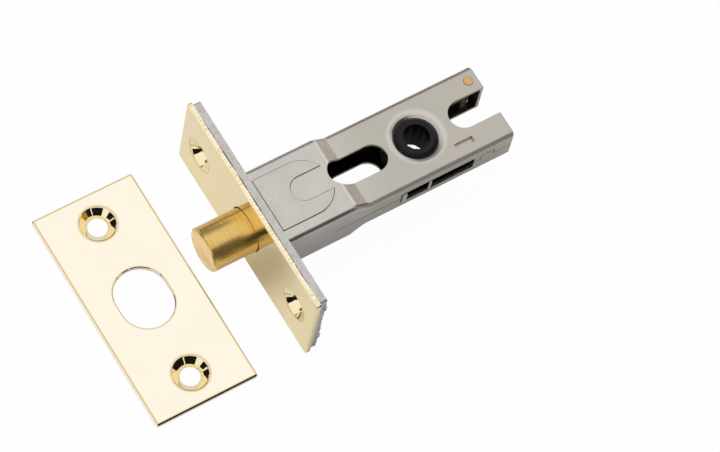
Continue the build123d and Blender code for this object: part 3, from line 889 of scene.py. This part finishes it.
def floor_white(camera_share, mirror_share):
    """Matt white that takes shadows; the shares say how white the camera and the metals see it."""
    material, w, out = blank("floor_white")
    matt = w.add("ShaderNodeBsdfDiffuse", (0, 100), {"Color": (0.9, 0.9, 0.9, 1)})
    glow = w.add("ShaderNodeEmission", (0, -100), {"Color": (1, 1, 1, 1), "Strength": 1.0})
    seen, mirrored = seen_and_mirrored(w)
    share = w.calc("MAXIMUM", w.calc("MULTIPLY", seen, camera_share, place=(-150, 300)),
                   w.calc("MULTIPLY", mirrored, mirror_share, place=(-150, 150)), place=(50, 300))
    blend(w, share, matt, glow, out)
    return material


def card_material(name, shade):
    """One even shade that needs no light."""
    material, w, out = blank(name)
    glow = w.add("ShaderNodeEmission", (0, 0), {"Color": (shade, shade, shade, 1), "Strength": 1.0})
    w.join(glow.outputs[0], out.inputs["Surface"])
    return material


def level(x0, x1, y0, y1, z):
    """The corners of a level rectangle."""
    return [(x0, y0, z), (x1, y0, z), (x1, y1, z), (x0, y1, z)]


def stage_piece(name, points, faces, material):
    """A plain piece of the stage."""
    mesh = bpy.data.meshes.new(name)
    mesh.from_pydata(points, [], faces)
    mesh.materials.append(material)
    piece = placed(name, mesh)
    return piece


def card(name, points, faces, material):
    """A card that the camera and the light pass by, and that only shows in reflections."""
    piece = stage_piece(name, points, faces, material)
    piece.visible_camera = False
    piece.visible_shadow = False
    piece.visible_diffuse = False


def flat_card(name, corners, material):
    """A small flat card near the object."""
    card(name, corners, [tuple(range(len(corners)))], material)


def curved_card(name, azimuths, elevations, low, distance, material):
    """A card round the stage, between two azimuths and two elevations as seen from its middle at floor level."""
    steps = 8
    foot, head = (low + distance * math.tan(math.radians(angle)) for angle in elevations)
    points, faces = [], []
    for index in range(steps + 1):
        turn = math.radians(azimuths[0] + (azimuths[1] - azimuths[0]) * index / steps)
        x, y = distance * math.cos(turn), distance * math.sin(turn)
        points += [(x, y, foot), (x, y, head)]
        if index:
            faces.append((2 * index - 2, 2 * index - 1, 2 * index + 1, 2 * index))
    card(name, points, faces, material)


# Curved cards: name, azimuths and elevations in degrees, shade
ROUND_CARDS = (("card_far_side", (60, 126), (0, 9), "black"),
               ("card_far_side_grey", (46, 100), (9, 46), "grey"),
               ("card_far_side_high", (126, 150), (0, 22), "black"),
               ("card_far_side_raised", (150, 183), (18.5, 28), "black"),
               ("card_behind_camera", (214, 272), (0, 38), "black"),
               ("card_near_side_high", (277, 332), (0, 54), "black"),
               ("card_near_side", (332, 360), (0, 42), "black"))

# Flat cards that face the dimples of the faceplate: name, corners as (y, z) in mm from a screw's axis, shade
DIMPLE_CARD_X = -52.0 * MM
DIMPLE_CARDS = (("card_dark_in_dimple", ((0.3, -2.9), (-1.2, -1.6), (-3.0, 0.4), (-4.6, 2.0), (-5.6, -0.6),
                                         (-4.4, -4.2), (-0.9, -5.0)), "black"),
                ("card_pale_in_dimple", ((0.7, -2.8), (-0.95, -1.35), (-2.75, 0.65), (-4.4, 2.3), (2, 4.2),
                                         (6.5, 2.5), (7.5, -3), (1.2, -3.6)), "white"))

# Other flat cards near the object: name, corners, shade
FLAT_CARDS = (("card_at_bolt_end", ((-0.0604, -0.014, -0.006), (-0.0604, 0.008, -0.006),
                                    (-0.0562, 0.008, -0.006), (-0.0562, -0.014, -0.006)), "white"),
              ("card_beside_case", ((-0.017, -0.022, -0.003), (0.03, -0.022, -0.003), (0.03, -0.022, 0.02),
                                    (-0.017, -0.022, 0.02)), "grey"))

# Black strips that lie on the floor: name, x from and to, y from and to
FLOOR_CARDS = (("card_on_floor_near", -0.09, 0.1, -0.3, -0.052),
               ("card_on_floor_left", -0.4, -0.092, -0.3, -0.031))


class PRIVACYBOLT_OT_stage(bpy.types.Operator):
    """Lays the floor, puts up the cards and the lamp, and sets up the camera"""

    bl_idname = "privacybolt.stage"
    bl_label = "Build the stage"

    def execute(self, context):
        scene = context.scene
        s = scene.privacy_bolt_stage
        low = solid_box[0].z - s.floor_gap
        half = s.floor_size / 2
        stage_piece("floor", level(-half, half, -half, half, low), [(0, 1, 2, 3)],
                    floor_white(camera_share=0.97, mirror_share=0.15))

        shades = {name: card_material("card_" + name, shade)
                  for name, shade in (("black", 0.01), ("grey", 0.34), ("white", 1.0))}
        for name, azimuths, elevations, shade in ROUND_CARDS:
            curved_card(name, azimuths, elevations, low, s.card_distance, shades[shade])
        for side in (1, -1):
            for name, outline, shade in DIMPLE_CARDS:
                flat_card(f"{name}_{side}", [(DIMPLE_CARD_X, side * SCREW_Y + y * MM, z * MM) for y, z in outline],
                          shades[shade])
        for name, corners, shade in FLAT_CARDS:
            flat_card(name, corners, shades[shade])
        for name, *sides in FLOOR_CARDS:
            flat_card(name, level(*sides, low + 0.1 * MM), shades["black"])

        data = bpy.data.lights.new("overhead", "AREA")
        data.shape = "SQUARE"
        data.size = s.lamp_size
        data.energy = s.lamp_power
        lamp = bpy.data.objects.new("overhead", data)
        lamp.location = s.lamp_place
        lamp.rotation_mode = "QUATERNION"
        lamp.rotation_quaternion = (-Vector(s.lamp_place)).to_track_quat("-Z", "Y")
        lamp.visible_glossy = False
        scene.collection.objects.link(lamp)

        world = bpy.data.worlds.new("studio")
        scene.world = world
        world.use_nodes = True
        world.node_tree.nodes.clear()
        w = Wiring(world.node_tree)
        out = w.add("ShaderNodeOutputWorld", (600, 0))
        light = w.add("ShaderNodeBackground", (0, 100), {"Color": (1, 1, 1, 1), "Strength": s.sky_light})
        shown = w.add("ShaderNodeBackground", (0, -100), {"Color": (1, 1, 1, 1), "Strength": 1.0})
        seen, mirrored = seen_and_mirrored(w)
        blend(w, w.calc("MAXIMUM", seen, mirrored, place=(-100, 300)), light, shown, out)

        data = bpy.data.cameras.new("camera")
        data.sensor_width = 36
        data.lens = s.lens
        data.clip_start, data.clip_end = 10 * MM, 50
        camera = bpy.data.objects.new("camera", data)
        camera.location = s.camera_place
        camera.rotation_mode = "QUATERNION"
        camera.rotation_quaternion = Quaternion(s.camera_turn)
        scene.collection.objects.link(camera)
        scene.camera = camera
        scene.view_settings.view_transform = "Standard"
        return {"FINISHED"}


class PRIVACYBOLT_PT_panel(bpy.types.Panel):
    """Lists the pieces of the bolt and their settings"""

    bl_label = "Privacy Bolt"
    bl_idname = "PRIVACYBOLT_PT_panel"
    bl_space_type = "VIEW_3D"
    bl_region_type = "UI"
    bl_category = "Privacy Bolt"

    def draw(self, context):
        layout = self.layout
        for operator in OPERATORS:
            layout.operator(operator.bl_idname)
        for name in SETTINGS:
            box = layout.box()
            group = getattr(context.scene, name)
            for prop in group.bl_rna.properties:
                if prop.identifier not in ("rna_type", "name"):
                    box.prop(group, prop.identifier)


OPERATORS = (PRIVACYBOLT_OT_plates, PRIVACYBOLT_OT_bolt, PRIVACYBOLT_OT_case, PRIVACYBOLT_OT_back_plate,
             PRIVACYBOLT_OT_works, PRIVACYBOLT_OT_stage)
SETTINGS = {"privacy_bolt_brass": BrassSettings, "privacy_bolt_steel": SteelSettings,
            "privacy_bolt_nylon": NylonSettings, "privacy_bolt_burrs": BurrSettings,
            "privacy_bolt_stage": StageSettings}


def register():
    for cls in (*SETTINGS.values(), *OPERATORS, PRIVACYBOLT_PT_panel):
        bpy.utils.register_class(cls)
    for name, cls in SETTINGS.items():
        setattr(bpy.types.Scene, name, PointerProperty(type=cls))


def unregister():
    for name in SETTINGS:
        delattr(bpy.types.Scene, name)
    for cls in (PRIVACYBOLT_PT_panel, *reversed(OPERATORS), *reversed(list(SETTINGS.values()))):
        bpy.utils.unregister_class(cls)


def main():
    register()
    bpy.ops.privacybolt.plates()
    bpy.ops.privacybolt.bolt()
    bpy.ops.privacybolt.case()
    bpy.ops.privacybolt.back_plate()
    bpy.ops.privacybolt.works()
    bpy.ops.privacybolt.stage()


if __name__ == "__main__":
    main()
